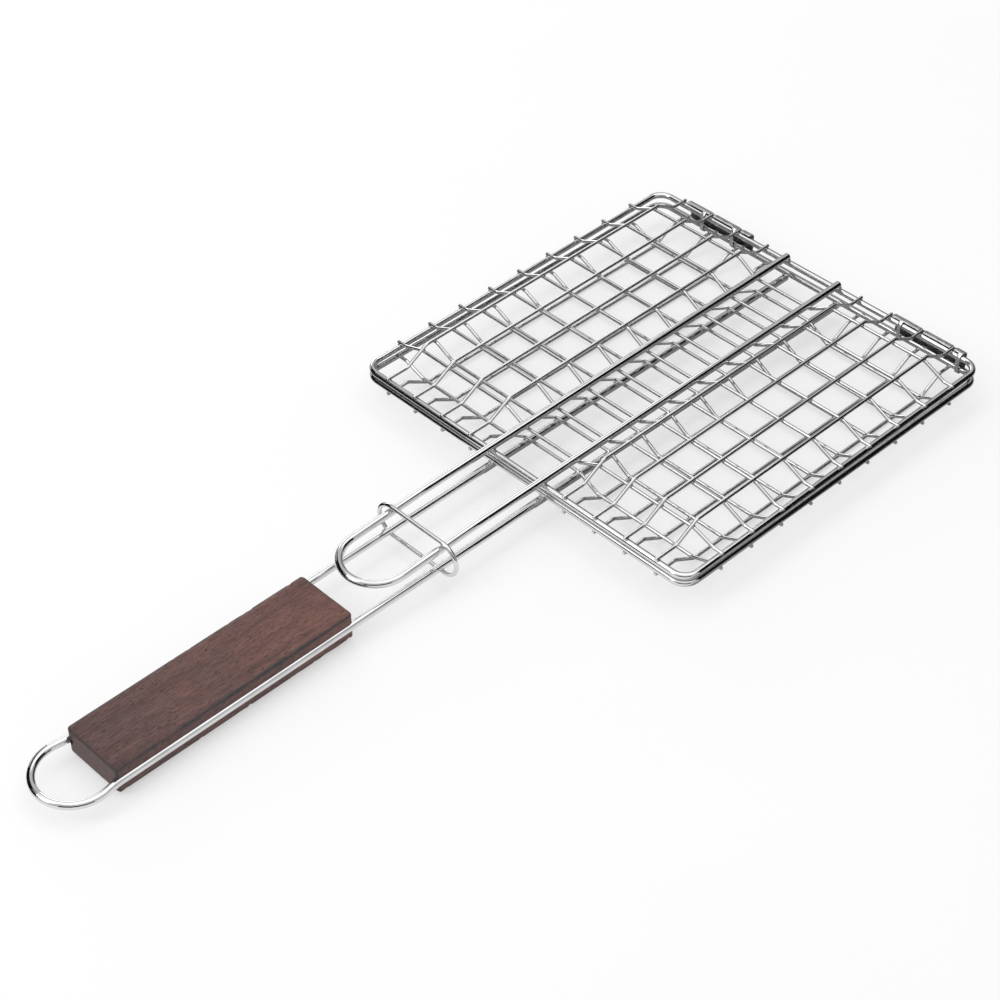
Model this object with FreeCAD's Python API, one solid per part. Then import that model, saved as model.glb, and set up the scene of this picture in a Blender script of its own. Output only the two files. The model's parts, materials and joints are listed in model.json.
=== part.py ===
"""Hinged wire grill basket with a wooden grip.

Two wire grids close on each other like a book.  Two folded sheet clips at the far edge are the
hinge, and a sliding wire ring around the four handle legs locks the basket shut.
Millimetres.  +Y runs from the grip to the hinge, +X to the right, +Z up.  The shapes are made
about the middle of the basket, with z = 0 half-way between the two rims at the handle side, and
are moved at the end so that the origin is the middle of the underside of the whole object.
"""
import FreeCAD, Part
import math
import os

os.makedirs("parts", exist_ok=True)
V = FreeCAD.Vector

# ---- driving dimensions ----
basket = 250.0              # outside of the rims, both ways
rim_wire = 3.8
grid_wire = 2.0
handle_wire = 4.5
ring_wire = 2.5
weld = 0.2                  # how far two welded wires sink into each other
rim_corner = 9.0            # radius of the rim's axis
rim_gap_front = 5.0         # between the two rims' axes at the handle side
rim_gap_hinge = 7.6         # the same at the hinge

lengthwise_first = 36.3     # x of the innermost lengthwise wire
lengthwise_pitch = 22.4
lengthwise_per_side = 4
cross_count = 9
cross_pitch = 24.125
pocket_rise = 8.4           # from the wires' tips up to the flat of a pocket
front_foot, front_top = 16.0, 31.0      # the front slope, from the wires' front tips
back_foot, back_top = 11.0, 26.5        # the back slope, from the wires' back tips
side_foot, side_top = 118.5, 104.5      # x of a cross wire's outer slope
valley_top, valley_foot = 35.0, 21.0    # x of a cross wire's inner slope
bend = 5.0                  # radius of the grid wires' bends

leg_spacing = 39.4          # between the two legs of a handle
leg_tip = 1.4               # the legs stop this far short of the rim's outside
loop_reach = 319.0          # from the basket to the end of the hanging loop
loop_spacing = 42.0         # the hanging loop is wider than the legs, which flare out beyond the grip
loop_flare = 9.0
inner_loop_reach = 122.4    # from the basket to the end of the upper handle's loop
droop_start, droop = 50.0, 2.3          # the upper handle leans down beyond this reach
leg_bend = 120.0
flare_bend = 24.0

grip_length, grip_width, grip_thickness = 150.4, 40.4, 16.2
grip_reach = 134.8          # from the basket to the grip
grip_round_corner, grip_sharp_corner = 2.8, 1.2     # two of each, across from each other
grip_edge_radius = 1.0
groove_clearance = 0.05

ring_reach = 73.0           # from the basket to the ring
ring_width = 59.5           # axis to axis
ring_clearance = 0.3        # above the upper legs
ring_play = 0.4             # below the lower legs
ring_offset = 1.2           # it is loose sideways, and lies a little to the right
ring_joint_x, ring_joint_gap = 4.0, 0.5

sheet = 0.5
clip_length = 51.0
clip_starts = {"left_hinge_clip": -101.0, "right_hinge_clip": 60.2}
clip_relief_offsets = {"left_hinge_clip": 24.0, "right_hinge_clip": 37.8}
strap_offsets = {"left_hinge_clip": (15.0, 39.4), "right_hinge_clip": (7.3, 49.8)}
strap_width = 2.4           # the straps' middles stand at those offsets from the clip's left end
clip_front, clip_back = 2.2, 4.5        # inside faces, from the rims' axes
clip_cap = 2.8              # inside face above the upper rim's axis, below the lower one's
clip_corner = 2.6
slot_width, slot_sill = 3.0, 1.4
seam = 0.4

# ---- dimensions that follow ----
half = basket / 2
rim_axis = half - rim_wire / 2
rim_z = rim_gap_front / 2
tip_z = rim_z + (rim_wire + grid_wire) / 2 - weld
roof_z = tip_z + pocket_rise
leg_z = rim_z + (rim_wire + handle_wire) / 2 - weld
valley_z = leg_z - (handle_wire + grid_wire) / 2 + weld
leg_x = leg_spacing / 2
spread = math.degrees(math.atan((rim_gap_hinge - rim_gap_front) / (2 * rim_axis)))
hinge_drop = rim_gap_hinge - rim_gap_front
lower_rim_back_z = -rim_z - hinge_drop
ring_top = leg_z + (handle_wire + ring_wire) / 2 + ring_clearance
ring_bottom = -leg_z - (handle_wire + ring_wire) / 2 - ring_play


def bent_path(points, radius, closed=False):
    """Straight runs joined by tangent arcs; radius is one number, or one for each bend."""
    corners = [V(*p) for p in points]
    count = len(corners)
    bends = range(count) if closed else range(1, count - 1)
    radii = radius if isinstance(radius, (list, tuple)) else [radius] * len(bends)
    arcs = {}
    for i, r in zip(bends, radii):
        before = (corners[i - 1] - corners[i]).normalize()
        after = (corners[(i + 1) % count] - corners[i]).normalize()
        half_angle = before.getAngle(after) / 2
        reach = r / math.tan(half_angle)
        inward = (before + after).normalize() * (r / math.sin(half_angle) - r)
        arcs[i] = (corners[i] + before * reach, corners[i] + inward, corners[i] + after * reach)
    edges = []
    for i in range(count if closed else count - 1):
        j = (i + 1) % count
        start = arcs[i][2] if i in arcs else corners[i]
        end = arcs[j][0] if j in arcs else corners[j]
        if (end - start).Length > 1e-6:
            edges.append(Part.LineSegment(start, end).toShape())
        if j in arcs:
            edges.append(Part.Arc(*arcs[j]).toShape())
    return Part.Wire(edges)


def wire(points, radius, diameter, closed=False, rounding=0.0):
    """A round wire along a bent path, with its cut ends rounded off."""
    path = bent_path(points, radius, closed)
    first = path.Edges[0]
    start, along = first.valueAt(first.FirstParameter), first.tangentAt(first.FirstParameter)
    profile = Part.Face(Part.Wire(Part.makeCircle(diameter / 2, start, along)))
    solid = path.makePipe(profile)
    expected = path.Length * math.pi * diameter ** 2 / 4
    if abs(solid.Volume - expected) > 0.001 * expected:
        raise ValueError("a wire's volume is not its section times its length")
    if rounding:
        tips = (V(*points[0]), V(*points[-1]))
        rims = [e for e in solid.Edges if min((e.CenterOfMass - t).Length for t in tips) < 0.01]
        solid = solid.makeFillet(rounding, rims)
    return solid


def turned_over(shape):
    """The lower half's copy of an upper half's piece, opened out a little towards the hinge."""
    lower = shape.mirror(V(0, 0, 0), V(0, 0, 1))
    lower.rotate(V(0, -rim_axis, -rim_z), V(1, 0, 0), -spread)
    return lower


def spread_z(y, z):
    """The height of a point of the lower half after it is opened out."""
    return z - max(0.0, y + rim_axis) * math.tan(math.radians(spread))


def roof_height(y):
    """Height of the lengthwise wires' axis, and the cosine of their slope there."""
    front, back = y + half, half - y
    for foot, top, reach in ((front_foot, front_top, front), (back_foot, back_top, back)):
        if foot < reach < top:
            slope = pocket_rise / (top - foot)
            return tip_z + (reach - foot) * slope, math.cos(math.atan(slope))
    return roof_z, 1.0


def rim():
    corners = [(-rim_axis, -rim_axis), (rim_axis, -rim_axis), (rim_axis, rim_axis), (-rim_axis, rim_axis)]
    return wire([(x, y, rim_z) for x, y in corners], rim_corner, rim_wire, closed=True)


def lengthwise_wire(x):
    profile = [
        (-half, tip_z), (front_foot - half, tip_z), (front_top - half, roof_z),
        (half - back_top, roof_z), (half - back_foot, tip_z), (half, tip_z),
    ]
    return wire([(x, y, z) for y, z in profile], bend, grid_wire, rounding=0.4)


def cross_wire(y):
    """It runs under the lengthwise wires and dips under the handle's legs in the middle."""
    roof, cosine = roof_height(y)
    pocket_z = roof - (grid_wire - weld) / cosine
    right = [(valley_foot, valley_z), (valley_top, pocket_z), (side_top, pocket_z),
             (side_foot, tip_z), (half, tip_z)]
    profile = [(-x, z) for x, z in reversed(right)] + right
    return wire([(x, y, z) for x, z in profile], bend, grid_wire, rounding=0.4)


def upper_handle():
    """A long staple: two legs over the grid, and a round loop beyond the locking ring."""
    bend_y = -half - droop_start
    end_y = -half - inner_loop_reach + handle_wire / 2
    side = [(half - leg_tip, leg_z), (bend_y, leg_z), (end_y, leg_z - droop)]
    points = [(-leg_x, y, z) for y, z in side] + [(leg_x, y, z) for y, z in reversed(side)]
    return wire(points, [leg_bend, leg_x - 0.01, leg_x - 0.01, leg_bend], handle_wire, rounding=0.6)


def lower_handle():
    """Its legs lie under the grid, pass along the grip's grooves and close in the hanging loop."""
    back_y = half - leg_tip
    end_y = -half - loop_reach + handle_wire / 2
    grip_end_y = -half - grip_reach - grip_length
    loop_x = loop_spacing / 2
    side = [
        (leg_x, back_y, spread_z(back_y, -leg_z)), (leg_x, -rim_axis, -leg_z), (leg_x, grip_end_y, -leg_z),
        (loop_x, grip_end_y - loop_flare, -leg_z), (loop_x, end_y, -leg_z),
    ]
    points = [(-x, y, z) for x, y, z in side] + side[::-1]
    radii = [leg_bend, flare_bend, flare_bend, loop_x - 0.01]
    return wire(points, radii + radii[::-1], handle_wire, rounding=0.6)


def grip():
    """One block of wood with a groove down each long side for the handle's legs."""
    front_y = -half - grip_reach
    low = V(-grip_width / 2, front_y - grip_length, -leg_z - grip_thickness / 2)
    block = Part.makeBox(grip_width, grip_length, grip_thickness, low)
    middle = block.CenterOfMass
    upright = [e for e in block.Edges if abs(e.tangentAt(0).z) > 0.9]
    for radius, sign in ((grip_round_corner, 1), (grip_sharp_corner, -1)):
        offsets = [(e, e.CenterOfMass - middle) for e in upright]
        block = block.makeFillet(radius, [e for e, offset in offsets if offset.x * offset.y * sign > 0])
    level = [e for e in block.Edges if e.BoundBox.ZLength < 0.01]
    block = block.makeFillet(grip_edge_radius, level)
    for x in (-leg_x, leg_x):
        start = V(x, front_y - grip_length - 1, -leg_z)
        groove = Part.makeCylinder(handle_wire / 2 + groove_clearance, grip_length + 2, start, V(0, 1, 0))
        block = block.cut(groove)
    return block


def locking_ring():
    """A round-ended wire ring whose two ends meet in its lower run."""
    y = -half - ring_reach
    r = (ring_top - ring_bottom) / 2
    left, right = ring_offset - ring_width / 2, ring_offset + ring_width / 2
    right_end = ring_joint_x + ring_joint_gap / 2
    left_end = ring_joint_x - ring_joint_gap / 2
    profile = [(right_end, ring_bottom), (right, ring_bottom), (right, ring_top),
               (left, ring_top), (left, ring_bottom), (left_end, ring_bottom)]
    return wire([(x, y, z) for x, z in profile], r - 0.01, ring_wire, rounding=0.3)


def rounded_bar(x, length, y_range, z_range, radius):
    """A bar along X with rounded long edges."""
    low = V(x, y_range[0], z_range[0])
    bar = Part.makeBox(length, y_range[1] - y_range[0], z_range[1] - z_range[0], low)
    return bar.makeFillet(radius, [e for e in bar.Edges if abs(e.tangentAt(0).x) > 0.9])


def hinge_clip(name):
    """A folded sheet channel behind both rims.  Two narrow straps hold the rims from the front, and
    the lips are slotted where the lengthwise wires turn in them."""
    start, end = clip_starts[name], clip_starts[name] + clip_length
    inside_y = (rim_axis - clip_front, rim_axis + clip_back)
    inside_z = (lower_rim_back_z - clip_cap, rim_z + clip_cap)
    outside_y = (inside_y[0] - sheet, inside_y[1] + sheet)
    outside_z = (inside_z[0] - sheet, inside_z[1] + sheet)
    sleeve = rounded_bar(start, clip_length, outside_y, outside_z, clip_corner + sheet)
    sleeve = sleeve.cut(rounded_bar(start - 1, clip_length + 2, inside_y, inside_z, clip_corner))

    depth = outside_y[1] - outside_y[0] + 2
    slot_depth = clip_cap + sheet + 1 - slot_sill
    seam_y = (outside_y[0] + outside_y[1]) / 2
    for x in (x for x in lengthwise_x if start < x < end):
        for z in (rim_z + slot_sill, lower_rim_back_z - slot_sill - slot_depth):
            corner = V(x - slot_width / 2, outside_y[0] - 1, z)
            sleeve = sleeve.cut(Part.makeBox(slot_width, depth, slot_depth, corner))

    straps = [start + offset for offset in strap_offsets[name]]
    window_starts = [start - 1] + [x + strap_width / 2 for x in straps]
    window_ends = [x - strap_width / 2 for x in straps] + [end + 1]
    height = outside_z[1] - outside_z[0] + 2
    for x0, x1 in zip(window_starts, window_ends):
        corner = V(x0, outside_y[0] - 1, outside_z[0] - 1)
        sleeve = sleeve.cut(Part.makeBox(x1 - x0, rim_axis - corner.y, height, corner))
        sleeve = sleeve.cut(Part.makeBox(x1 - x0, seam_y + seam - corner.y, 2 + sheet, corner))

    relief = V(start + clip_relief_offsets[name], rim_axis + clip_back - clip_corner, inside_z[1] - 1)
    sleeve = sleeve.cut(Part.makeBox(seam, clip_corner + 2, 3, relief))
    return sleeve.cut(Part.makeBox(clip_length + 2, seam, 2 + sheet, V(start - 1, seam_y, outside_z[0] - 1)))


lengthwise_x = [side * (lengthwise_first + i * lengthwise_pitch)
                for side in (-1, 1) for i in range(lengthwise_per_side)]
pieces = {"upper_rim": rim(), "lower_rim": turned_over(rim())}
for number, x in enumerate(sorted(lengthwise_x), 1):
    pieces[f"upper_lengthwise_wire_{number}"] = lengthwise_wire(x)
    pieces[f"lower_lengthwise_wire_{number}"] = turned_over(lengthwise_wire(x))
for number in range(1, cross_count + 1):
    y = (number - (cross_count + 1) / 2) * cross_pitch
    pieces[f"upper_cross_wire_{number}"] = cross_wire(y)
    pieces[f"lower_cross_wire_{number}"] = turned_over(cross_wire(y))
pieces["upper_handle_wire"] = upper_handle()
pieces["lower_handle_wire"] = lower_handle()
pieces["wooden_grip"] = grip()
pieces["locking_ring"] = locking_ring()
for name in clip_starts:
    pieces[name] = hinge_clip(name)

everything = Part.makeCompound(list(pieces.values()))
box = everything.optimalBoundingBox(False)
to_origin = V(0, -(box.YMin + box.YMax) / 2, -box.ZMin)
for name, shape in pieces.items():
    if not shape.isValid() or len(shape.Solids) != 1:
        raise ValueError(name + " is not one valid solid")
    shape.translate(to_origin)
    shape.exportStep("parts/" + name + ".step")
print(len(pieces), "nodes; box", [round(v, 2) for v in (box.XLength, box.YLength, box.ZLength)])
print("basket middle and front mid-height:", round(to_origin.y, 3), round(to_origin.z, 3))
print("hinge axes: y", round(rim_axis + to_origin.y, 3), "lower z",
      round(lower_rim_back_z + to_origin.z, 3), "upper z", round(rim_z + to_origin.z, 3))
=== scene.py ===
import json
import math

import bmesh
import bpy
import numpy as np
from mathutils import Euler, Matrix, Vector, noise
from mathutils.bvhtree import BVHTree


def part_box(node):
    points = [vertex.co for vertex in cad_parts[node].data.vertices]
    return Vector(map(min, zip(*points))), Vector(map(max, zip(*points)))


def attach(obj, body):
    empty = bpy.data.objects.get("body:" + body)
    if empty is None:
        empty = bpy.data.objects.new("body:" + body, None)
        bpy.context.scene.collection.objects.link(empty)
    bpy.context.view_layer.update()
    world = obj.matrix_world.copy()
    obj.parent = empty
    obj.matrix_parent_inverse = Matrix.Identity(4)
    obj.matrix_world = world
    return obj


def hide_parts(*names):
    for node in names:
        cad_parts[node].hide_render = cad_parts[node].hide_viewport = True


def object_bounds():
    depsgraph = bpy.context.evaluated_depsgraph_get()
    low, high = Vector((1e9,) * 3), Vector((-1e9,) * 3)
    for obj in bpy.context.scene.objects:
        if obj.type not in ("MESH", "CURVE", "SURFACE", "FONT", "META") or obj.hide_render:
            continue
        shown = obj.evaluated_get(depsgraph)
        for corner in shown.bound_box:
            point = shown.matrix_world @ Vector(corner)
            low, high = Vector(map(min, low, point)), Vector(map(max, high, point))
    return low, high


# Grill basket. The CAD's wires keep their shapes and get finer materials. The grip and the two hinge
# clips are replaced by more detailed meshes of the same size, and each half gets its welds.

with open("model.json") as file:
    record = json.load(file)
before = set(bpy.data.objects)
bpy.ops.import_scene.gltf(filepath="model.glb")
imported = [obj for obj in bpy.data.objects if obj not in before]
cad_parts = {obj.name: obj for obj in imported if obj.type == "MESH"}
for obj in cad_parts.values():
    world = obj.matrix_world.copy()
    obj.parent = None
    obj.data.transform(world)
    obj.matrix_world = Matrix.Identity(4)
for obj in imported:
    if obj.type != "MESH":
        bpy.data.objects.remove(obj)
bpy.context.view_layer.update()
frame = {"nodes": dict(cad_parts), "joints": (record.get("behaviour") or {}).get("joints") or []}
scene = bpy.context.scene
nodes = frame["nodes"]

MM = 0.001
RIM_RADIUS = 1.9 * MM       # of both rims' wire
LEG_RADIUS = 2.25 * MM      # of both handles' wire


# ---------------------------------------------------------------- node helpers

def new_material(name, metallic=0.0):
    material = bpy.data.materials.new(name)
    material.use_nodes = True
    tree = material.node_tree
    shader = tree.nodes["Principled BSDF"]
    shader.inputs["Metallic"].default_value = metallic
    return material, tree, shader


def feed(tree, socket, value):
    """Gives an input socket its value: another node's output, or a constant."""
    if isinstance(value, bpy.types.NodeSocket):
        tree.links.new(value, socket)
    else:
        socket.default_value = value


def node(tree, kind, inputs=None, **settings):
    made = tree.nodes.new("ShaderNode" + kind)
    for key, value in settings.items():
        setattr(made, key, value)
    for key, value in (inputs or {}).items():
        feed(tree, made.inputs[key], value)
    return made


def object_points(tree, scale=(1, 1, 1)):
    """Object coordinates in metres, stretched along each axis."""
    coordinates = node(tree, "TexCoord").outputs["Object"]
    return node(tree, "Mapping", {"Vector": coordinates, "Scale": scale}).outputs["Vector"]


def noise_of(tree, vector, scale, detail=3.0, roughness=0.5, distortion=0.0):
    made = node(tree, "TexNoise", {"Vector": vector, "Scale": scale, "Detail": detail,
                                   "Roughness": roughness, "Distortion": distortion})
    return made.outputs["Fac"]


def spread(tree, value, low, high, from_low=0.3, from_high=0.7):
    """Maps a value onto a range. A noise value lies mostly between 0.3 and 0.7."""
    return node(tree, "MapRange", {"Value": value, "From Min": from_low, "From Max": from_high,
                                   "To Min": low, "To Max": high}).outputs["Result"]


def mix(tree, factor, a, b):
    """Blends from colour a to colour b, each of them a socket or an RGB constant."""
    made = node(tree, "Mix", data_type="RGBA")
    for key, kind, value in (("Factor", "VALUE", factor), ("A", "RGBA", a), ("B", "RGBA", b)):
        socket = next(s for s in made.inputs if s.name == key and s.type == kind)
        feed(tree, socket, (*value, 1) if isinstance(value, tuple) else value)
    return next(s for s in made.outputs if s.type == "RGBA")


def maths(tree, operation, a, b=0.0):
    made = node(tree, "Math", operation=operation)
    for socket, value in zip(made.inputs, (a, b)):
        feed(tree, socket, value)
    return made.outputs["Value"]


def bump(tree, shader, height, strength, distance, normal=None):
    inputs = {"Height": height, "Strength": strength, "Distance": distance}
    if normal is not None:
        inputs["Normal"] = normal
    made = node(tree, "Bump", inputs).outputs["Normal"]
    tree.links.new(made, shader.inputs["Normal"])
    return made


# ---------------------------------------------------------------- materials

def chrome(name, run, rough=(0.03, 0.09)):
    """Bright plate over drawn wire: faint draw lines along the run, hazy patches, a few warm specks."""
    material, tree, shader = new_material(name, metallic=1.0)
    plate, hazy, speck = (0.72, 0.72, 0.73), (0.6192, 0.6192, 0.6278), (0.7056, 0.6696, 0.6278)
    lines = noise_of(tree, object_points(tree, run), 1.0, detail=2.0)
    haze = noise_of(tree, object_points(tree), 45.0, detail=4.0, roughness=0.6)
    specks = noise_of(tree, object_points(tree), 900.0, detail=1.0)
    colour = mix(tree, spread(tree, haze, 0.0, 1.0, 0.42, 0.72), plate, hazy)
    colour = mix(tree, spread(tree, specks, 0.0, 0.55, 0.70, 0.80), colour, speck)
    tree.links.new(colour, shader.inputs["Base Color"])
    roughness = maths(tree, "ADD", spread(tree, haze, *rough), spread(tree, specks, 0.0, 0.12, 0.66, 0.80))
    tree.links.new(roughness, shader.inputs["Roughness"])
    fine = bump(tree, shader, lines, 0.10, 0.04 * MM)
    bump(tree, shader, haze, 0.06, 0.3 * MM, normal=fine)
    return material


def sheet_metal(name):
    """Thin plated sheet, bent by hand: rolling lines along its length and shallow dents."""
    material, tree, shader = new_material(name, metallic=1.0)
    bright, dull = (0.90, 0.90, 0.90), (0.74, 0.73, 0.72)
    rolled = noise_of(tree, object_points(tree, (60, 900, 900)), 1.0, detail=3.0)
    dents = noise_of(tree, object_points(tree, (1.0, 1.3, 1.3)), 150.0, detail=2.0, roughness=0.4)
    haze = noise_of(tree, object_points(tree), 70.0, detail=5.0)
    colour = mix(tree, spread(tree, haze, 0.0, 1.0, 0.35, 0.7), bright, dull)
    tree.links.new(colour, shader.inputs["Base Color"])
    tree.links.new(spread(tree, haze, 0.10, 0.24), shader.inputs["Roughness"])
    fine = bump(tree, shader, rolled, 0.15, 0.1 * MM)
    bump(tree, shader, dents, 0.5, 0.6 * MM, normal=fine)
    return material


def sheet_inner_side(name):
    """The inner side of the folded sheet: unpolished, and coloured dark all over as painted shade, for the
    shadow that fills the channel behind and between the rims.
    """
    material, tree, shader = new_material(name, metallic=1.0)
    # painted shade: two dark greys, mixed in patches, stand in for the shadow on the inside of the channel
    deep_shade, light_shade = (0.10, 0.098, 0.095), (0.30, 0.29, 0.28)
    shade_patches = noise_of(tree, object_points(tree), 260.0, detail=4.0, roughness=0.6)
    dents = noise_of(tree, object_points(tree, (1.0, 1.3, 1.3)), 260.0, detail=3.0)
    colour = mix(tree, spread(tree, shade_patches, 0.0, 1.0, 0.38, 0.66), deep_shade, light_shade)
    tree.links.new(colour, shader.inputs["Base Color"])
    tree.links.new(spread(tree, shade_patches, 0.45, 0.25), shader.inputs["Roughness"])
    bump(tree, shader, dents, 0.6, 0.5 * MM)
    return material


def weld_metal(name):
    """Plated weld: duller than the wires and a little uneven."""
    material, tree, shader = new_material(name, metallic=1.0)
    bright, dull = (0.66, 0.66, 0.66), (0.50, 0.48, 0.46)
    lumps = noise_of(tree, object_points(tree), 1100.0, detail=3.0)
    patches = noise_of(tree, object_points(tree), 120.0, detail=2.0)
    colour = mix(tree, spread(tree, patches, 0.0, 1.0), bright, dull)
    tree.links.new(colour, shader.inputs["Base Color"])
    tree.links.new(spread(tree, lumps, 0.12, 0.30), shader.inputs["Roughness"])
    bump(tree, shader, lumps, 0.35, 0.15 * MM)
    return material


def stained_wood(name):
    """Red-brown hardwood under a thin dark stain: fine lengthwise fibres and short pores, a faint
    broad figure, greyer towards the hanging loop, darker end grain, and darker and greyer along the
    long edges and in the leg wire's groove, where that darkening is painted shade."""
    material, tree, shader = new_material(name)
    low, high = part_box("wooden_grip")
    greyer, redder, vein = (0.100, 0.054, 0.052), (0.172, 0.068, 0.052), (0.055, 0.023, 0.020)
    pale_fibre, dark_fibre = (0.235, 0.115, 0.090), (0.040, 0.017, 0.015)
    # the last colour darkens the long edges and the leg wire's groove; in the groove it is painted shade
    pore, end_face, edge_dark = (0.022, 0.012, 0.011), (0.035, 0.016, 0.012), (0.040, 0.033, 0.034)

    # each pattern is drawn out along the grip, which lies along Y
    figure = noise_of(tree, object_points(tree, (150, 9, 150)), 1.0, detail=4.0, distortion=0.4)
    fibres = noise_of(tree, object_points(tree, (1500, 90, 1500)), 1.0, detail=5.0, roughness=0.75)
    pores = noise_of(tree, object_points(tree, (1900, 330, 1900)), 1.0, detail=2.0, roughness=0.55)
    blush = noise_of(tree, object_points(tree, (38, 24, 38)), 1.0, detail=2.0)
    edge_patchiness = noise_of(tree, object_points(tree, (210, 75, 210)), 1.0, detail=4.0, roughness=0.6)

    place = node(tree, "SeparateXYZ", {"Vector": object_points(tree)}).outputs["Y"]
    along = spread(tree, place, 0.0, 1.0, low.y, high.y)
    facing = node(tree, "SeparateXYZ", {"Vector": node(tree, "TexCoord").outputs["Normal"]}).outputs["Y"]
    end_grain = spread(tree, maths(tree, "ABSOLUTE", facing), 0.0, 1.0, 0.55, 0.9)
    redness = maths(tree, "ADD", maths(tree, "MULTIPLY", along, 0.75), spread(tree, blush, -0.25, 0.3))
    redness = maths(tree, "ADD", redness, maths(tree, "MULTIPLY", end_grain, 0.6))
    colour = mix(tree, redness, greyer, redder)
    colour = mix(tree, spread(tree, figure, 0.0, 0.55, 0.42, 0.66), colour, vein)
    colour = mix(tree, spread(tree, fibres, 0.0, 0.75, 0.51, 0.70), colour, pale_fibre)
    colour = mix(tree, spread(tree, fibres, 0.80, 0.0, 0.32, 0.49), colour, dark_fibre)
    colour = mix(tree, spread(tree, pores, 0.0, 0.85, 0.55, 0.68), colour, pore)
    colour = mix(tree, maths(tree, "MULTIPLY", end_grain, 0.55), colour, end_face)
    # darker and greyer along the long edges and in the leg wire's groove, in patches; in the groove this is
    # painted shade
    edge = node(tree, "Attribute", attribute_name="edge", attribute_type="GEOMETRY").outputs["Fac"]
    darkened_edges = maths(tree, "MULTIPLY", edge, spread(tree, edge_patchiness, 0.45, 1.0, 0.38, 0.58))
    colour = mix(tree, darkened_edges, colour, edge_dark)
    tree.links.new(colour, shader.inputs["Base Color"])

    roughness = maths(tree, "ADD", spread(tree, fibres, 0.38, 0.52), spread(tree, pores, 0.0, 0.2, 0.5, 0.7))
    tree.links.new(roughness, shader.inputs["Roughness"])
    shader.inputs["Specular IOR Level"].default_value = 0.4
    fine = bump(tree, shader, fibres, 0.35, 0.12 * MM)
    bump(tree, shader, spread(tree, pores, 0.0, -1.0, 0.56, 0.72), 0.6, 0.18 * MM, normal=fine)
    return material


def light_table(name):
    """A sheet lit from below, whose own light makes it white and keeps the shadows on it pale."""
    material, tree, shader = new_material(name)
    mottle = noise_of(tree, object_points(tree), 6.0, detail=3.0)
    colour = mix(tree, mottle, (0.50, 0.50, 0.50), (0.52, 0.52, 0.52))
    tree.links.new(colour, shader.inputs["Base Color"])
    shader.inputs["Emission Color"].default_value = (1, 1, 1, 1)
    shader.inputs["Emission Strength"].default_value = 0.46
    shader.inputs["Roughness"].default_value = 0.9
    shader.inputs["Specular IOR Level"].default_value = 0.1
    return material


def card(name, value):
    """Matt grey card, from 0 for black to 1 for white."""
    material, _, shader = new_material(name)
    shader.inputs["Base Color"].default_value = (value, value, value, 1)
    shader.inputs["Roughness"].default_value = 1.0
    shader.inputs["Specular IOR Level"].default_value = 0.0
    return material


ALONG_Y, ALONG_X, ALL_ROUND = (2600, 35, 2600), (35, 2600, 2600), (700, 700, 2600)
finishes = {
    "lengthwise": chrome("chrome_drawn_lengthwise", ALONG_Y),
    "cross": chrome("chrome_drawn_crosswise", ALONG_X, rough=(0.03, 0.10)),
    "handle": chrome("chrome_handle", ALONG_Y, rough=(0.02, 0.07)),
    "rim": chrome("chrome_rim", ALL_ROUND, rough=(0.02, 0.08)),
    "ring": chrome("chrome_ring", ALONG_X, rough=(0.05, 0.12)),
}
sheet = sheet_metal("plated_sheet")
sheet_inside = sheet_inner_side("sheet_inner_side")
welds = weld_metal("plated_weld")
wood = stained_wood("stained_wood")

for name, obj in nodes.items():
    kind = next((k for k in finishes if k in name), None)
    if kind:
        obj.data.materials.clear()
        obj.data.materials.append(finishes[kind])


# ---------------------------------------------------------------- mesh helpers

def mesh_object(name, vertices, faces, material, smooth_angle=None):
    mesh = bpy.data.meshes.new(name)
    mesh.from_pydata([tuple(v) for v in vertices], [], faces)
    mesh.validate()
    mesh.update()
    obj = bpy.data.objects.new(name, mesh)
    scene.collection.objects.link(obj)
    mesh.materials.append(material)
    mesh.shade_smooth()
    if smooth_angle is not None:
        mesh.set_sharp_from_angle(angle=math.radians(smooth_angle))
    return obj


def corner_inset(depth, radius):
    """How far a rounded corner stands back, at a depth behind the face it rounds into."""
    if depth >= radius:
        return 0.0
    return radius - math.sqrt(max(0.0, radius ** 2 - (radius - depth) ** 2))


# ---------------------------------------------------------------- grip

def grip_section(half_width, half_height, edge, groove_x, groove_radius):
    """The outline of the grip seen along Y, with how near each point is to a long edge, 0 to 1."""
    side_steps, groove_steps, corner_steps, top_steps = 9, 18, 8, 40
    fade_below, fade_above = 3, 4           # steps on a side over which a long edge's darkening and nicks fade
    fade_on_top = 1.2 * MM
    # points in the leg wire's groove and just beside it get part of the edges' darkening: painted shade
    # where the wire shades the wood
    beside_groove, in_groove = 0.35, 0.55
    points, nearness = [], []

    def add(x, z, near):
        points.append((x, z))
        nearness.append(near)

    def arc(cx, cz, radius, start, end, steps, near):
        for i in range(steps + 1):
            a = math.radians(start + (end - start) * i / steps)
            add(cx + radius * math.cos(a), cz + radius * math.sin(a), near)

    # up the right side, round its groove, and over the long edge on top
    mouth = math.sqrt(groove_radius ** 2 - (groove_x - half_width) ** 2)
    opening = math.degrees(math.acos((groove_x - half_width) / groove_radius))
    straight = half_height - edge - mouth
    for i in range(side_steps):
        near = beside_groove if i == side_steps - 1 else max(0.0, 1 - i / fade_below)
        add(half_width, -half_height + edge + straight * i / side_steps, near)
    arc(groove_x, 0, groove_radius, 180 + opening, 180 - opening, groove_steps, in_groove)
    for i in range(1, side_steps + 1):
        add(half_width, mouth + straight * i / side_steps, max(0.0, 1 - (side_steps - i) / fade_above))
    arc(half_width - edge, half_height - edge, edge, 0, 90, corner_steps, 1.0)
    flat = half_width - edge
    for i in range(1, top_steps):
        x = flat - 2 * flat * i / top_steps
        add(x, half_height, max(0.0, 1 - (flat - abs(x)) / fade_on_top))

    # the left side and the underside are the same, turned half round
    for (x, z), near in list(zip(points, nearness)):
        add(-x, -z, near)
    return points, nearness


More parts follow.
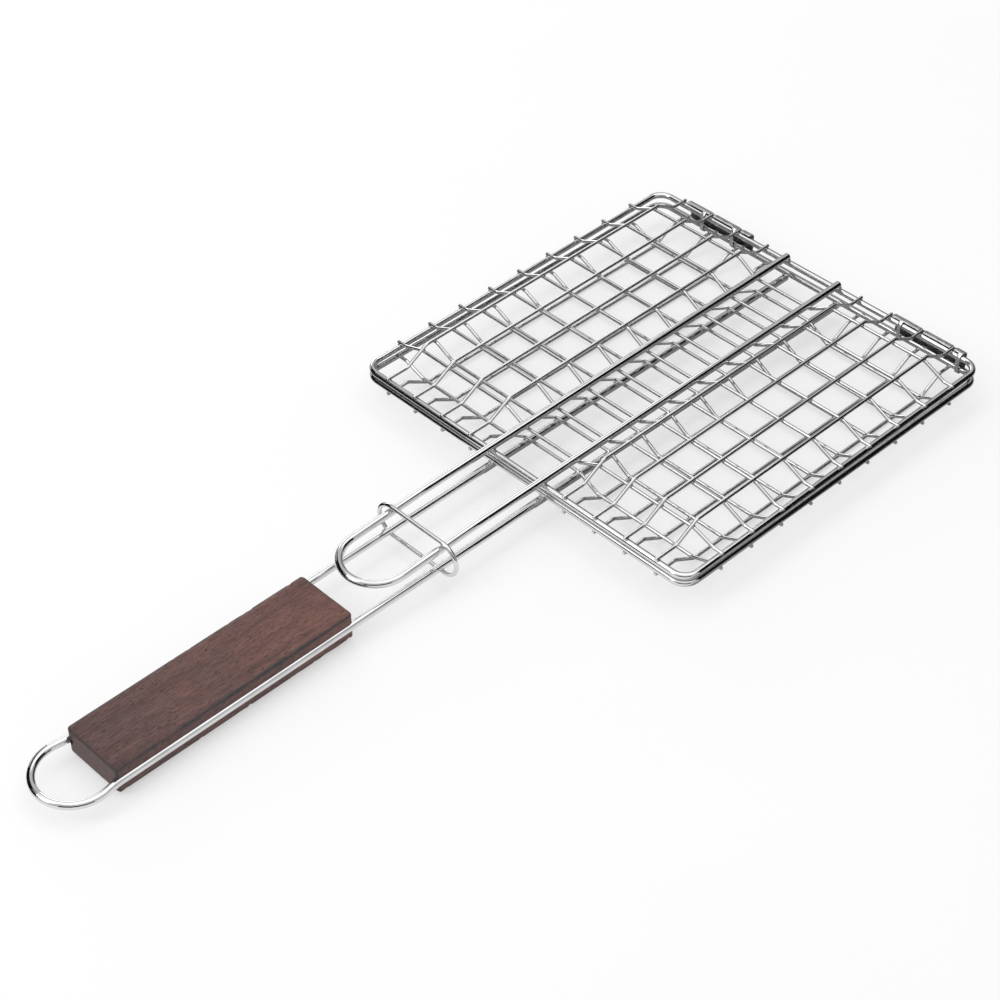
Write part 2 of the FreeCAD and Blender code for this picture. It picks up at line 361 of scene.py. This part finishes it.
def make_grip():
    low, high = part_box("wooden_grip")
    length = high.y - low.y
    half_width = (high.x - low.x) / 2
    half_height = (high.z - low.z) / 2
    middle_z = (high.z + low.z) / 2
    groove_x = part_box("upper_handle_wire")[1].x - LEG_RADIUS    # the lower legs lie under the upper ones
    groove_radius = LEG_RADIUS + 0.05 * MM
    edge_radius, round_corner, sharp_corner = 1.0 * MM, 2.8 * MM, 1.2 * MM
    section, nearness = grip_section(half_width, half_height, edge_radius, groove_x, groove_radius)
    count = len(section)

    # sections stand close together where the ends round off; smaller rings fill the end faces
    end_depths = [d * MM for d in (0.0, 0.06, 0.15, 0.28, 0.45, 0.65, 0.9, 1.2, 1.6, 2.1, 2.6)]
    between = list(np.linspace(3.2 * MM, length - 3.2 * MM, 230))
    end_shrinks = (0.25, 0.5, 0.7, 0.84, 0.92, 0.97)
    end_edge_reach = 2.2 * MM
    vertices, faces, edge_values = [], [], []

    def ring_of(y, shrink=1.0):
        """Adds one outline at a distance from the end by the hanging loop; gives its first index."""
        depth = min(y, length - y)
        first = len(vertices)
        if shrink < 1.0:
            at_end = max(0.0, 1 - (1 - shrink) * 9)
        else:
            at_end = max(0.0, 1 - depth / end_edge_reach)
        shrink_z = (1 - corner_inset(depth, edge_radius) / half_height) * shrink
        for (x, z), near in zip(section, nearness):
            # seen from above, two opposite corners of the block are rounder than the others
            round_here = (x > 0) == (y > length / 2)
            inset = corner_inset(depth, round_corner if round_here else sharp_corner)
            shrink_x = (1 - inset / half_width) * shrink
            vertices.append(Vector((x * shrink_x, low.y + y, middle_z + z * shrink_z)))
            edge_values.append(at_end if shrink < 1.0 else min(1.0, max(near, at_end)))
        return first

    rings = [ring_of(0.0, s) for s in end_shrinks]
    rings += [ring_of(y) for y in end_depths + between + [length - d for d in reversed(end_depths)]]
    rings += [ring_of(length, s) for s in reversed(end_shrinks)]
    for a, b in zip(rings, rings[1:]):
        for i in range(count):
            j = (i + 1) % count
            faces.append((a + i, a + j, b + j, b + i))
    for ring, y, flip in ((rings[0], low.y, True), (rings[-1], high.y, False)):
        centre = len(vertices)
        vertices.append(Vector((0, y, middle_z)))
        edge_values.append(0.0)
        for i in range(count):
            j = (i + 1) % count
            faces.append((centre, ring + j, ring + i) if flip else (centre, ring + i, ring + j))

    # hand-sanded faces, and small nicks and chips along the edges, in mm; every move is inwards
    sanding, nicking, chipping = 0.08, 0.60, 0.4
    for v, near in zip(vertices, edge_values):
        sanded = 0.5 + 0.5 * noise.noise(v * 55)
        nick = max(0.0, noise.noise(Vector((v.x * 300, v.y * 260, v.z * 300))) - 0.28) * 1.6
        chip = max(0.0, noise.noise(Vector((v.x * 120 + 7, v.y * 90, v.z * 120))) - 0.42) * 2.0
        inward = (sanding * sanded + near * (nicking * nick + chipping * chip)) * MM
        direction = Vector((v.x / half_width, 0, (v.z - middle_z) / half_height))
        if direction.length > 0.2:
            v -= direction.normalized() * inward
    grip = mesh_object("grip_block", vertices, faces, wood, smooth_angle=50)
    # this nearness also sets where the wood is drawn darker and greyer, which in the groove is painted shade
    attribute = grip.data.attributes.new("edge", "FLOAT", "POINT")
    attribute.data.foreach_set("value", np.array(edge_values, np.float32))
    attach(grip, "lower_half")
    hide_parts("wooden_grip")


# ---------------------------------------------------------------- hinge clips

SHEET = 0.5 * MM                    # thickness of the folded sheet
FOLD_RADIUS = 2.85 * MM             # of its middle surface
HALF_SEAM = 0.2 * MM                # the seam underneath is left open
STRAP_WIDTH, SLOT_WIDTH, SLIT_WIDTH = 2.4 * MM, 3.0 * MM, 0.6 * MM


def bent_profile(y_range, z_range, radius, step):
    """Closed outline of the folded sheet's middle surface, from the seam underneath round to it."""
    (y0, y1), (z0, z1) = y_range, z_range
    start = ((y0 + y1) / 2, z0)
    points = []

    def straight(*stops):
        for a, b in zip(stops, stops[1:]):
            count = max(1, round(math.dist(a, b) / step))
            for i in range(count):
                points.append((a[0] + (b[0] - a[0]) * i / count, a[1] + (b[1] - a[1]) * i / count))

    def arc(cy, cz, first, last, count=9):
        for i in range(count):
            a = math.radians(first + (last - first) * i / count)
            points.append((cy + radius * math.cos(a), cz + radius * math.sin(a)))

    # the top lip is creased: it falls gently behind the crease, and then turns down sharply
    crease = (y1 - radius, z1 - 0.05 * MM)
    brow = (y1 - 0.9 * MM, z1 - 0.85 * MM)
    cheek = (y1 - 0.15 * MM, z1 - 1.8 * MM)
    straight(start, (y1 - radius, z0))
    arc(y1 - radius, z0 + radius, -90, 0)
    straight((y1, z0 + radius), (y1, z1 - radius), cheek, brow, crease, (y0 + radius, z1))
    arc(y0 + radius, z1 - radius, 90, 180)
    straight((y0, z1 - radius), (y0, z0 + radius))
    arc(y0 + radius, z0 + radius, 180, 270)
    straight((y0 + radius, z0), start)
    points.append(start)
    return points


def band(middle, width):
    return middle - width / 2, middle + width / 2


def inside(x, bands):
    return any(start < x < end for start, end in bands)


def clip_columns(low_x, high_x, bands):
    """Places of the mesh's columns: one at each end of a band, and equal steps between."""
    column_step, least_step = 0.75 * MM, 0.01 * MM
    marks = sorted({low_x, high_x} | {min(end, high_x) for pair in bands for end in pair})
    columns = []
    for a, b in zip(marks, marks[1:]):
        if b - a < least_step:
            continue
        count = max(1, round((b - a) / column_step))
        columns += [a + (b - a) * i / count for i in range(count)]
    return columns + [high_x]


def make_clip(name, strap_offsets, slit_offset):
    """A channel behind both rims, with two narrow straps in front. The straps' middles and the left
    side of the slit in the fold stand at those distances, in mm, from the clip's left end."""
    low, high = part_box(name)
    upper_low, upper_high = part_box("upper_rim")
    upper_axis = (upper_low.z + upper_high.z) / 2
    hinges = {j["name"]: Vector(j["pos_m"]) for j in frame["joints"] if "pos_m" in j}
    rim_y, lower_axis = hinges["clip_hinge"].y, hinges["clip_hinge"].z
    lip_height = 1.4 * MM                       # the slots in the lips begin this far outside the axes
    slit_depth, slit_behind_rim = 1.9 * MM, 1.4 * MM

    outline = bent_profile((low.y + SHEET / 2, high.y - SHEET / 2), (low.z + SHEET / 2, high.z - SHEET / 2),
                           FOLD_RADIUS, step=0.6 * MM)
    straps = [band(low.x + offset * MM, STRAP_WIDTH) for offset in strap_offsets]
    slit = (low.x + slit_offset * MM, low.x + slit_offset * MM + SLIT_WIDTH)
    slots = []
    for wire in sorted(nodes):
        if "upper_lengthwise" in wire:
            wire_low, wire_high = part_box(wire)
            x = (wire_low.x + wire_high.x) / 2
            if low.x < x < high.x:
                slots.append(band(x, SLOT_WIDTH))
    columns = clip_columns(low.x, high.x, slots + straps + [slit])

    def is_open(x, y, z):
        """Whether the sheet is cut away at a place."""
        on_lip = z > upper_axis + lip_height or z < lower_axis - lip_height
        in_front = y < rim_y or (z < lower_axis and y < outline[0][0])
        in_slit_cut = z > high.z - slit_depth and y > rim_y + slit_behind_rim
        return ((inside(x, slots) and on_lip) or (in_front and not inside(x, straps))
                or (inside(x, [slit]) and in_slit_cut))

    vertices, faces = [], []
    rows = len(outline)
    for x in columns:
        for i, (y, z) in enumerate(outline):
            shift = HALF_SEAM if i == 0 else -HALF_SEAM if i == rows - 1 else 0.0
            vertices.append(Vector((x, y + shift, z)))
    for c in range(len(columns) - 1):
        x = (columns[c] + columns[c + 1]) / 2
        for r in range(rows - 1):
            y = (outline[r][0] + outline[r + 1][0]) / 2
            z = (outline[r][1] + outline[r + 1][1]) / 2
            if not is_open(x, y, z):
                a, b = c * rows + r, (c + 1) * rows + r
                faces.append((a, a + 1, b + 1, b))

    # waves and crumples left by bending by hand, in mm; every move is inwards
    wave_depth, crumple_depth = 0.13, 0.08
    middle_y, middle_z = (low.y + high.y) / 2, (low.z + high.z) / 2
    for v in vertices:
        out = Vector((0, v.y - middle_y, v.z - middle_z)).normalized()
        wave = 0.5 + 0.5 * noise.noise(Vector((v.x * 170, v.y * 240, v.z * 240)))
        crumple = max(0.0, noise.noise(Vector((v.x * 420, v.y * 380 + 3, v.z * 380))))
        v -= out * (wave_depth * wave + crumple_depth * crumple) * MM

    clip = mesh_object(name + "_sheet", vertices, faces, sheet, smooth_angle=60)
    work = bmesh.new()
    work.from_mesh(clip.data)
    loose = [v for v in work.verts if not v.link_faces]
    bmesh.ops.delete(work, geom=loose, context="VERTS")
    work.to_mesh(clip.data)
    work.free()
    # the inner side of the sheet gets the material with the painted shade
    clip.data.materials.append(sheet_inside)
    solid = clip.modifiers.new("thickness", "SOLIDIFY")
    solid.thickness = SHEET
    solid.offset = 0.0
    solid.use_even_offset = True
    solid.material_offset = 1
    rounded = clip.modifiers.new("edges", "BEVEL")
    rounded.width = 0.09 * MM
    rounded.segments = 2
    rounded.limit_method = "ANGLE"
    rounded.angle_limit = math.radians(60)
    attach(clip, "hinge_clips")
    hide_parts(name)


# ---------------------------------------------------------------- welds

# radius and half thickness of a nugget: between grid wires, at a rim or on a leg, and leg to rim
GRID_WELD, RIM_WELD, LEG_WELD = (1.12 * MM, 0.55 * MM), (1.35 * MM, 0.6 * MM), (1.9 * MM, 0.8 * MM)


def tree_of(name):
    mesh = nodes[name].data
    return BVHTree.FromPolygons([v.co for v in mesh.vertices], [p.vertices for p in mesh.polygons])


def surface(tree, x, y, upwards):
    """Height of a wire's underside (looking up) or top (looking down) at a place, or None."""
    outside = 0.2
    start = Vector((x, y, -outside if upwards else outside))
    hit = tree.ray_cast(start, Vector((0, 0, 1 if upwards else -1)))
    return hit[0].z if hit[0] else None


def add_nugget(store, centre, radius, thickness, seed):
    """A flattened weld: it swells into the four corners between the two crossing wires."""
    around, down = 16, 8
    swelling, unevenness = 0.16, 0.07
    vertices, faces = store
    first = len(vertices)
    for r in range(down + 1):
        lat = math.pi * r / down
        for a in range(around):
            lon = 2 * math.pi * a / around
            uneven = noise.noise(Vector((math.cos(lon) * 1.5, math.sin(lon) * 1.5, seed * 3.7)))
            lobe = 1 + swelling * math.cos(4 * lon + math.pi) + unevenness * uneven
            flat = radius * lobe * math.sin(lat)
            vertices.append(centre + Vector((flat * math.cos(lon), flat * math.sin(lon),
                                             thickness * math.cos(lat))))
    for r in range(down):
        for a in range(around):
            b = (a + 1) % around
            i, j = first + r * around, first + (r + 1) * around
            faces.append((i + a, j + a, j + b, i + b))


def make_welds(half, body):
    """One nugget wherever two wires of a half cross."""
    upper = half == "upper"
    trees, middles = {}, {}
    for name in nodes:
        if name.startswith(half):
            trees[name] = tree_of(name)
            low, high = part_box(name)
            middles[name] = ((low.x + high.x) / 2, (low.y + high.y) / 2)
    lengthwise = sorted(n for n in trees if "lengthwise" in n)
    crossing = sorted(n for n in trees if "cross_wire" in n)
    rim, handle = half + "_rim", half + "_handle_wire"
    rim_low, rim_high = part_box(rim)
    rim_xs = (rim_low.x + RIM_RADIUS, rim_high.x - RIM_RADIUS)
    rim_ys = (rim_low.y + RIM_RADIUS, rim_high.y - RIM_RADIUS)
    handle_low, handle_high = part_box("upper_handle_wire")      # the lower legs lie under the upper ones
    legs = (handle_low.x + LEG_RADIUS, handle_high.x - LEG_RADIUS)
    store, seed = ([], []), 0

    def join(outer, inner, x, y, size):
        """outer is the wire further from the middle of the basket."""
        nonlocal seed
        a = surface(trees[outer], x, y, upwards=upper)
        b = surface(trees[inner], x, y, upwards=not upper)
        seed += 1
        if a is not None and b is not None:
            radius, thickness = size
            wobble = 1 + 0.12 * noise.noise(Vector((x * 90, y * 90, seed)))
            add_nugget(store, Vector((x, y, (a + b) / 2)), radius * wobble, thickness, seed)

    for wire in lengthwise:
        x = middles[wire][0]
        for other in crossing:
            join(wire, other, x, middles[other][1], GRID_WELD)
        for y in rim_ys:
            join(wire, rim, x, y, RIM_WELD)
    for wire in crossing:
        y = middles[wire][1]
        for x in rim_xs:
            join(wire, rim, x, y, RIM_WELD)
        for x in legs:
            join(handle, wire, x, y, RIM_WELD)
    for x in legs:
        for y in rim_ys:
            join(handle, rim, x, y, LEG_WELD)
    made = mesh_object(half + "_welds", store[0], store[1], welds)
    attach(made, body)


make_grip()
make_clip("left_hinge_clip", (15.0, 39.4), 24.0)
make_clip("right_hinge_clip", (7.3, 49.8), 37.8)
make_welds("upper", "upper_half")
make_welds("lower", "lower_half")


# ---------------------------------------------------------------- studio

low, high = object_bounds()
basket_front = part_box("lower_rim")[0].y
dome_centre = (0, (low.y + high.y) / 2 + 0.09, 0)       # in the front half of the basket


def only_in_reflections(obj):
    obj.visible_camera = False
    obj.visible_diffuse = False
    obj.visible_shadow = False


def level_plane(name, material, x_range, y_range, height):
    (x0, x1), (y0, y1) = x_range, y_range
    corners = [Vector(p) for p in ((x0, y0, 0), (x1, y0, 0), (x1, y1, 0), (x0, y1, 0))]
    obj = mesh_object(name, corners, [(0, 1, 2, 3)], material)
    obj.location = (0, 0, height)
    return obj


def gap(name, material, azimuths, elevations):
    """A patch of a dome round the object, seen only in reflections: a dark gap between the softboxes.
    Azimuth counts from +X towards +Y, in degrees."""
    across, up, dome_radius = 10, 5, 1.5
    points, faces = [], []
    for i in range(up + 1):
        e = math.radians(elevations[0] + (elevations[1] - elevations[0]) * i / up)
        for j in range(across + 1):
            a = math.radians(azimuths[0] + (azimuths[1] - azimuths[0]) * j / across)
            ray = Vector((math.cos(a) * math.cos(e), math.sin(a) * math.cos(e), math.sin(e)))
            points.append(ray * dome_radius)
    for i in range(up):
        for j in range(across):
            k = i * (across + 1) + j
            faces.append((k, k + 1, k + across + 2, k + across + 1))
    obj = mesh_object(name, points, faces, material)
    obj.location = dome_centre
    only_in_reflections(obj)


def softbox(name, location, size, power, shape="RECTANGLE"):
    """An area light that faces the front half of the basket."""
    target = Vector((0, 0.1, 0))
    data = bpy.data.lights.new(name, "AREA")
    data.shape = shape
    data.size, data.size_y = size
    data.energy = power
    obj = bpy.data.objects.new(name, data)
    scene.collection.objects.link(obj)
    obj.location = location
    obj.rotation_mode = "QUATERNION"
    obj.rotation_quaternion = (target - Vector(location)).to_track_quat("-Z", "Y")


level_plane("floor", light_table("light_table"), (-25, 25), (-25, 25), low.z - 0.1 * MM)
black = card("black_card", 0.008)
grey = card("grey_card", 0.20)

# the basket mirrors a greyer table than the one that the camera sees, with black ends on the right
# of the basket and on the left of the handles
only_in_reflections(level_plane("table", card("table_card", 0.36), (-0.5, 0.8), (basket_front, 1.0),
                                low.z - 0.05 * MM))
for side, x_range, y_range in (("right", (high.x + 0.02, 0.8), (basket_front + 0.10, 1.0)),
                               ("left", (-0.7, -0.055), (-0.8, basket_front - 0.01))):
    only_in_reflections(level_plane("table_end_" + side, black, x_range, y_range, low.z - 0.03 * MM))

gap("gap_right_back", black, (26, 78), (0, 54))
gap("gap_back", grey, (78, 125), (0, 34))
gap("gap_left", black, (176, 221), (18, 46))
gap("gap_front_left", black, (196, 246), (0, 30))
gap("gap_front_right", black, (282, 346), (0, 22))

softbox("softbox_top", (0.0, 0.1, 1.8), (2.7, 2.7), power=15, shape="ELLIPSE")
softbox("softbox_back_left", (-1.45, 0.75, 0.45), (1.0, 0.6), power=4.0)
softbox("softbox_front_left", (-0.6, -1.3, 1.05), (0.8, 1.0), power=5.5)

world = bpy.data.worlds.new("studio")
scene.world = world
world.use_nodes = True
background = world.node_tree.nodes["Background"]
background.inputs["Color"].default_value = (1.0, 1.0, 1.0, 1)
background.inputs["Strength"].default_value = 0.62

camera_data = bpy.data.cameras.new("camera")
camera_data.lens = 83.91
camera_data.sensor_width = 36
camera_data.clip_start = 0.05
camera_data.clip_end = 100
camera = bpy.data.objects.new("camera", camera_data)
scene.collection.objects.link(camera)
camera.location = (0.6773, -0.6265, 0.8562)
camera.rotation_euler = Euler([math.radians(a) for a in (47.749, 0.507, 45.810)])
scene.camera = camera

scene.view_settings.view_transform = "Standard"
scene.view_settings.look = "None"
